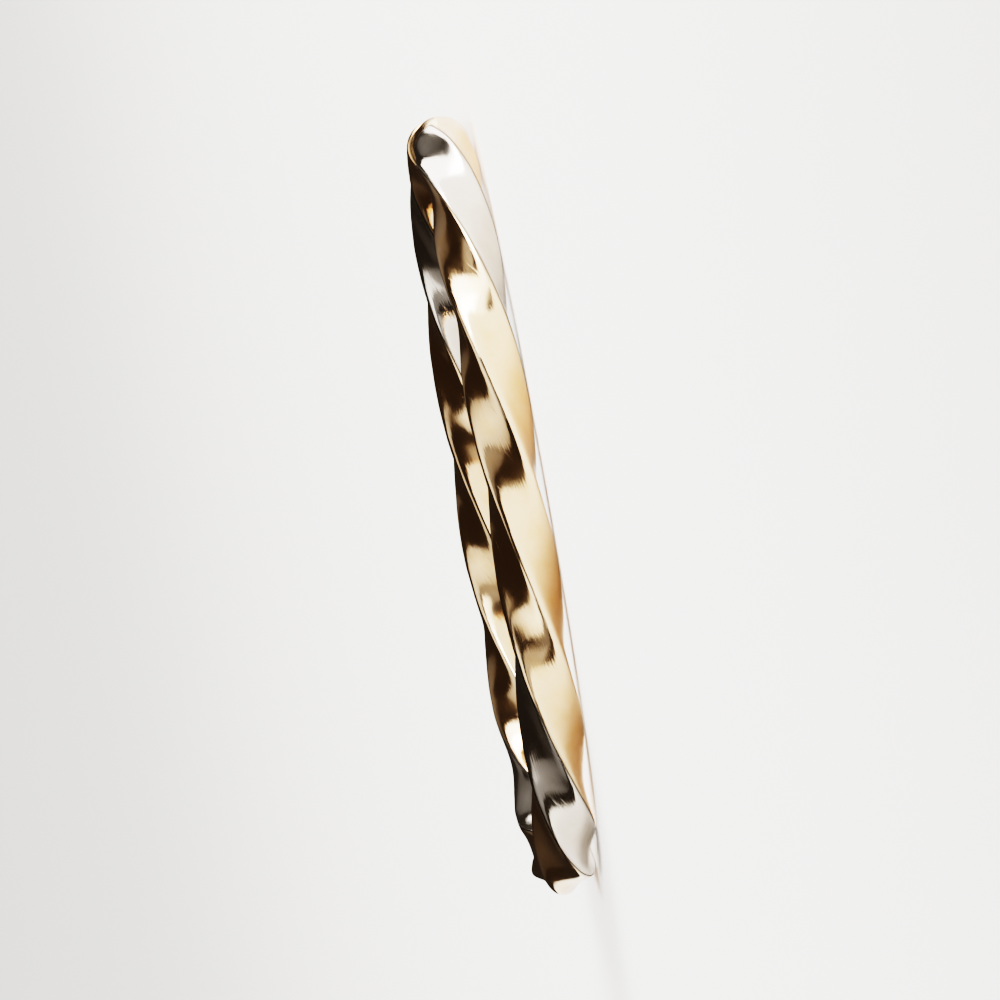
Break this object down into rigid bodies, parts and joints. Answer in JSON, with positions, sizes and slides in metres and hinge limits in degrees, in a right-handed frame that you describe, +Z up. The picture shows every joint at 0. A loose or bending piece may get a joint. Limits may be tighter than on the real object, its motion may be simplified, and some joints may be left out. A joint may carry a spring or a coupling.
{
  "type": "twisted hoop earring",
  "caption": "Hoop earring of twisted square tube, three of its faces yellow gold and one a strand of white gold, with a thin wire post across the gap that goes through the ear.",
  "frame": {"origin": "centre of the hoop's circle, on the surface that the earring lies on", "axes": "+Z up along the hoop's axis; +X from the centre to the middle of the ear post; +Y along the post at its middle"},
  "size_m": [0.0358, 0.0363, 0.0029],
  "materials": {
    "yellow_gold": "polished",
    "white_gold": "polished",
    "post_gold": "polished, drawn wire"
  },
  "bodies": {
    "root": {"twisted_tube": "yellow_gold", "white_strand": "white_gold", "ear_post": "post_gold"}
  },
  "joints": []
}
